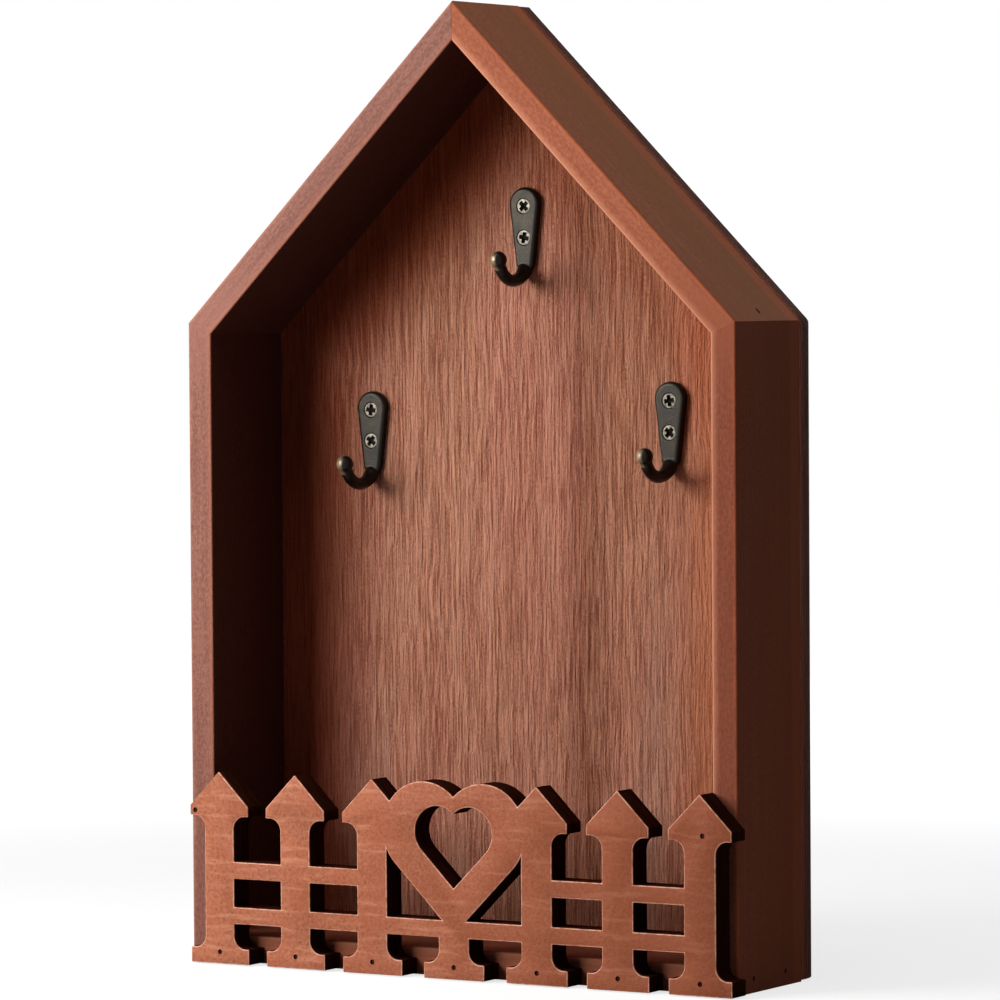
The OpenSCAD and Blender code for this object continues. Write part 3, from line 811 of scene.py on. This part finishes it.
# %% [markdown]
# ## Hooks in dark bronze
# Each hook is one casting: a tear-shaped plate with eased rims, an arm that leaves its lower end in a
# thick root, curls forward and up through a third of a turn and ends in a knob. The parts are
# modelled apart, joined, and remeshed into one skin, which melts the joints together as in a mould.
# The screws' countersinks are cut after that, so that they stay crisp. The finish is a dark patina
# that wears brown along the edges. The arm and knob are painted darker as shade, and the left of the
# knob is worn bare and painted paler as a highlight, and a value that is kept with each point of the
# mesh tells the material where that patch is.

# %% Bronze
bronze, tree = new_material("hook_bronze", Specular_IOR_Level=0.35)
place = object_place(tree)
hook_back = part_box("hook_top")[1].y
cloud = between(tree, noise(tree, place, 320, 4, 0.65), 0.3, 0.7)
pits = between(tree, noise(tree, place, 2200, 2, 0.5), 0.3, 0.7)
colour = blend(tree, cloud, srgb(17, 14, 9), srgb(36, 30, 21))
colour = stain(tree, colour, srgb(104, 92, 72), use(tree, wear, place, Radius=0.0006)["Mask"], 0.45)
# Everything that stands out from the plate, the arm and the knob, is painted darker as shade.
painted_arm_and_knob_shade = between(tree, parted(tree, place)[1], hook_back - 0.0036, hook_back - 0.0028, 1.0, 0.0)
colour = stain(tree, colour, srgb(17, 13, 10), painted_arm_and_knob_shade, 0.75)
# The left of the knob is worn bare and painted paler as a highlight, on the side that faces the lamp.
knob_wear_and_highlight = put(tree, "ShaderNodeAttribute", None, attribute_name="knob_wear_and_highlight").outputs["Fac"]
colour = stain(tree, colour, srgb(188, 162, 128), knob_wear_and_highlight, between(tree, cloud, 0, 1, 0.75, 1.0))
wire(tree, Base_Color=colour, Roughness=between(tree, cloud, 0, 1, 0.40, 0.32),
    Metallic=between(tree, cloud, 0, 1, 0.55, 0.75), Normal=bumped(tree, pits, 0.3, 0.0001))

# %% The hook's plate, with its top at the origin and its back on the plane y = 0
PLATE_T, PLATE_L, TOP_R, LOW_R = 2.5 * mm, 27 * mm, 5.45 * mm, 3.2 * mm
PLATE_EASE = 1.1 * mm
FACING_FRONT = (math.radians(90), 0, 0)
top_middle = (0, -PLATE_T, -TOP_R)
deselect()
bpy.ops.mesh.primitive_circle_add(vertices=64, radius=TOP_R, fill_type="NGON", location=top_middle,
    rotation=FACING_FRONT)
plate = settle()
pick(plate, lambda p: p.z < -TOP_R - NUDGE, "VERT")
resize((LOW_R / TOP_R,) * 3, top_middle)
bpy.ops.transform.translate(value=(0, 0, -(PLATE_L - TOP_R - LOW_R)))
whole_mesh()
draw_out(0, PLATE_T, 0)
face_outwards()
done()
pick(plate, lambda a, b: max(a.y, b.y) < -PLATE_T + NUDGE, "EDGE")
bpy.ops.mesh.bevel(offset=PLATE_EASE, segments=5, profile=0.5, affect="EDGES")
done()
print("plate:", len(plate.data.polygons), "faces")

# %% The arm's middle line and its radius
BEND_R, BEND_Y, BEND_Z = 9.4 * mm, -9.043 * mm, -20.294 * mm
ROOT_R, ARM_R, NECK_R = 2.45 * mm, 1.95 * mm, 2.0 * mm
NECK_FROM, THINNING = 0.8, 3.2
ARM_START, ARM_TURN = math.radians(-42), math.radians(121)


def on_bend(angle):
    """The point of the arm's middle line at an angle, from +Y towards +Z, in the plane x = 0."""
    return Vector((0, BEND_Y + BEND_R * math.cos(angle), BEND_Z + BEND_R * math.sin(angle)))


def arm_radius(share):
    """The arm's radius after a share of its turn: it thins from the root and swells at the neck."""
    if share < NECK_FROM:
        return max(ARM_R, ROOT_R - THINNING * (ROOT_R - ARM_R) * share)
    return ARM_R + (NECK_R - ARM_R) * (share - NECK_FROM) / (1 - NECK_FROM)


# %% Arm, spun round the bend and thinned ring by ring
STEPS = 27
deselect()
bpy.ops.mesh.primitive_circle_add(vertices=28, radius=ROOT_R, location=on_bend(ARM_START),
    rotation=(ARM_START, 0, 0))
arm = settle()
edit(arm, "VERT")
whole_mesh()
bpy.ops.mesh.spin(steps=STEPS, angle=ARM_TURN, center=(0, BEND_Y, BEND_Z), axis=(1, 0, 0))
done()
for step in range(1, STEPS + 1):
    angle = ARM_START - step * ARM_TURN / STEPS
    pick(arm, lambda p: abs(math.atan2(p.z - BEND_Z, p.y - BEND_Y) - angle) < 0.01, "VERT")
    resize((arm_radius(step / STEPS) / ROOT_R,) * 3, on_bend(angle))
    done()
edit(arm, "VERT")
whole_mesh()
bpy.ops.mesh.select_non_manifold()
bpy.ops.mesh.edge_face_add()
done()
print("arm reaches forward to mm:", round(min(v.co.y for v in arm.data.vertices) / mm, 1))

# %% Knob and root, and one skin over all four parts
KNOB_R, KNOB_HALF_L = 2.7 * mm, 2.75 * mm
ROOT_HALF = (2.5 * mm, 2.1 * mm, 2.5 * mm)
SKIN_VOXEL = 0.24 * mm


def blob(radii, place, tilt):
    """An ellipsoid with its poles along its own Z, turned by tilt about X."""
    deselect()
    bpy.ops.mesh.primitive_uv_sphere_add(segments=48, ring_count=24, radius=1, location=place,
        rotation=(tilt, 0, 0), scale=radii)
    return settle()


arm_end = ARM_START - ARM_TURN
knob_at = on_bend(arm_end)
knob = blob((KNOB_R, KNOB_R, KNOB_HALF_L), knob_at, arm_end)
root = blob(ROOT_HALF, on_bend(ARM_START), ARM_START)
casting = joined([plate, arm, knob, root])
modify(casting, "REMESH", mode="VOXEL", voxel_size=SKIN_VOXEL, adaptivity=0)
modify(casting, "SMOOTH", factor=0.5, iterations=5)
print("casting:", len(casting.data.polygons), "faces")

# %% Countersinks, cut after the skin so that they stay crisp
SCREW_AT = (-6 * mm, -16 * mm)
SINK_R, HOLE_R, SINK_DEEP, SINK_MIDDLE = 2.66 * mm, 1.3 * mm, 1.3 * mm, 0.62 * mm
PAST_FACES = 3 * mm
for z in SCREW_AT:
    deselect()
    bpy.ops.mesh.primitive_cone_add(vertices=48, radius1=HOLE_R, radius2=SINK_R, depth=SINK_DEEP,
        location=(0, -PLATE_T + SINK_MIDDLE, z), rotation=FACING_FRONT)
    cutter = settle()
    pick(cutter, lambda c, n: n.y < -0.9)
    draw_out(0, -PAST_FACES, 0)
    done()
    pick(cutter, lambda c, n: n.y > 0.9)
    draw_out(0, PAST_FACES, 0)
    face_outwards()
    done()
    cut(casting, cutter)
print("casting with countersinks:", len(casting.data.polygons), "faces")

# %% Where the knob is worn bare on its left, with a painted highlight
casting.data.materials.clear()
casting.data.materials.append(bronze)
# A value on each point: highest where the left of the knob is worn bare and painted as a highlight, and
# nothing on its right.
knob_wear_and_highlight = casting.data.attributes.new("knob_wear_and_highlight", "FLOAT", "POINT")
for point, value in zip(casting.data.vertices, knob_wear_and_highlight.data):
    out = point.co - knob_at
    on_knob = out.length < 1.3 * KNOB_R and out.y < 0.5 * KNOB_R
    value.value = max(0.0, min(1.0, 0.3 - out.x / (0.8 * KNOB_R))) if on_knob else 0.0
smooth(casting, 40)
print("points rubbed bare:", sum(value.value > 0 for value in knob_wear_and_highlight.data))

# %% Three hooks from one casting
def copy_at(model, name, place, turn=None):
    """A copy with its own mesh, whose place and turn go into the mesh."""
    piece = bpy.data.objects.new(name, model.data.copy())
    bpy.context.collection.objects.link(piece)
    piece.data.transform(Matrix.Translation(place) @ (turn or Matrix.Identity(4)))
    return piece


hook_tops = {}
for side in ("top", "left", "right"):
    low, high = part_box("hook_" + side)
    hook_tops[side] = Vector(((low.x + high.x) / 2, high.y, high.z))
    hook = copy_at(casting, "cast_hook_" + side, hook_tops[side])
    stands_for(hook, "hook_" + side)
bpy.data.objects.remove(casting)
print("hooks at mm:", {k: [round(c / mm, 1) for c in v] for k, v in hook_tops.items()})

# %% [markdown]
# ## Screws
# A countersunk screw shows only its head: a dull steel ring with a worn chamfer and a dark cross
# that narrows as it goes in. One screw is drawn out from a circle, its cross is cut by two tapered
# bars, and the copies are each turned a different way, as a hand leaves them.

# %% Plated steel, the painted shade in the crosses and the brads' rusty steel
def plated(name, light, dark, rough):
    material, tree = new_material(name, Metallic=0.9)
    place = object_place(tree)
    smears = between(tree, noise(tree, place, 900, 3, 0.6), 0.3, 0.7)
    scuffs = long_noise(tree, place, (2600, 2600, 900), 2)
    wire(tree, Base_Color=blend(tree, smears, dark, light),
        Roughness=between(tree, scuffs, 0.3, 0.7, rough, rough + 0.14),
        Normal=bumped(tree, scuffs, 0.15, 0.00005))
    return material


def dark_spotted(name, metallic, spots, darker, lighter, rough, smoother):
    """A dark surface with spots of two shades, so many to the metre."""
    material, tree = new_material(name, Specular_IOR_Level=0.1, Metallic=metallic)
    speckle = between(tree, noise(tree, object_place(tree), spots, 3, 0.6), 0.35, 0.65)
    wire(tree, Base_Color=blend(tree, speckle, darker, lighter),
        Roughness=between(tree, speckle, 0, 1, rough, smoother))
    return material


screw_steel = plated("screw_steel", srgb(108, 102, 92), srgb(60, 56, 50), 0.36)
zinc = plated("hanger_zinc", srgb(186, 188, 188), srgb(150, 152, 154), 0.36)
# The crosses' dark finish is painted shade, for the shade down in the recess.
painted_recess_shade = dark_spotted("cross_painted_shade", 0.0, 1500, srgb(10, 8, 6), srgb(26, 21, 16), 0.9, 0.7)
brad_steel = dark_spotted("brad_steel", 0.2, 1100, srgb(44, 20, 13), srgb(66, 32, 21), 0.8, 0.6)

# %% One screw, its head's face on the plane y = 0 and its shank towards +Y
HEAD_R, SHANK_R, CONE_H, HEAD_EASE = 2.4 * mm, 1.2 * mm, 1.2 * mm, 0.22 * mm
CROSS_L, CROSS_W, CROSS_DEEP, CROSS_TIP = 3.7 * mm, 1.4 * mm, 1.0 * mm, 0.1 * mm


def screw_blank(reach):
    """The screw before its cross is cut."""
    deselect()
    bpy.ops.mesh.primitive_circle_add(vertices=48, radius=HEAD_R, fill_type="NGON", rotation=FACING_FRONT)
    screw = settle()
    edit(screw)
    whole_mesh()
    draw_out(0, CONE_H, 0)
    resize((SHANK_R / HEAD_R,) * 3, (0, CONE_H, 0))
    draw_out(0, reach - CONE_H, 0)
    face_outwards()
    done()
    pick(screw, lambda a, b: max(a.y, b.y) < NUDGE, "EDGE")
    bpy.ops.mesh.bevel(offset=HEAD_EASE, segments=3, profile=0.6, affect="EDGES")
    done()
    return screw


def cross_bar(degrees):
    """One bar of the cross, which narrows to a blunt tip, turned about Y."""
    deselect()
    bpy.ops.mesh.primitive_cube_add(size=1, scale=(CROSS_L, 2 * CROSS_DEEP, CROSS_W))
    bar = settle()
    pick(bar, lambda c, n: n.y > 0.9)
    resize((0.92, 1, 0.96), MIDDLE)
    draw_out(0, CROSS_TIP, 0)
    resize((0.5, 1, 0.7), MIDDLE)
    done()
    bar.data.transform(Matrix.Rotation(math.radians(degrees), 4, "Y"))
    return bar


def screw_model(reach, metal):
    screw = screw_blank(reach)
    for degrees in (0, 90):
        cut(screw, cross_bar(degrees))
    # Faces down in the cross take the painted shade finish.
    for finish in (metal, painted_recess_shade):
        screw.data.materials.append(finish)
    for face in screw.data.polygons:
        c = face.center
        in_cross = math.hypot(c.x, c.z) < CROSS_L / 2 + NUDGE
        face.material_index = int(in_cross and NUDGE < c.y < CROSS_DEEP + 1.5 * CROSS_TIP)
    smooth(screw, 35)
    return screw


def screw_set(name, model, places, node_name):
    """One piece from copies of a screw, each at its place with its own turn about Y, in degrees."""
    copies = [copy_at(model, name, at, Matrix.Rotation(math.radians(turn), 4, "Y")) for at, turn in places]
    stands_for(joined(copies), node_name)
    bpy.data.objects.remove(model)

# %% The hooks' screws
SUNK = 0.25 * mm
HOOK_SCREW_L = 7.7 * mm
turns = {"top": (45, 12), "left": (8, 35), "right": (-8, 40)}
places = [(hook_tops[side] + Vector((0, SUNK - PLATE_T, z)), turn)
    for side in turns for z, turn in zip(SCREW_AT, turns[side])]
screw_set("hook_screw_set", screw_model(HOOK_SCREW_L, screw_steel), places, "hook_screws")

# %% [markdown]
# ## Hardware on the back, and the brads
# Two keyhole plates are let into the back. They are stamped, so their arrises are a little round: a
# merged copy of each CAD plate gets a narrow bevel. The brads are sunk below the wood and show as
# dark dots; the CAD heads are already right, so they only get a dull steel finish.

# %% Hanger plates
PLATE_ARRIS = 0.15 * mm
for side in ("left", "right"):
    stamped = clean_copy("hanger_" + side, "keyhole_plate_" + side)
    modify(stamped, "BEVEL", width=PLATE_ARRIS, segments=2, limit_method="ANGLE",
        angle_limit=math.radians(50))
    stamped.data.materials.append(zinc)
    smooth(stamped, 35)
    stands_for(stamped, "hanger_" + side)

# %% Their screws, turned round to go in from the back, and the brads' finish
HANGER_SCREW_L, SCREW_FROM_MIDDLE = 5.5 * mm, 14.5 * mm
places = []
for side, turn in (("left", 20), ("right", -35)):
    low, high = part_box("hanger_" + side)
    middle = (low + high) / 2
    for up, more in ((SCREW_FROM_MIDDLE, 0), (-SCREW_FROM_MIDDLE, 50)):
        places.append((Vector((middle.x, high.y - SUNK, middle.z + up)), turn + more))
back_model = screw_model(HANGER_SCREW_L, zinc)
back_model.data.transform(Matrix.Rotation(math.pi, 4, "Z"))
screw_set("hanger_screw_set", back_model, places, "hanger_screws")
for name in ("fretwork_brads", "corner_brads", "eave_brads", "panel_brads"):
    dress(name, brad_steel)
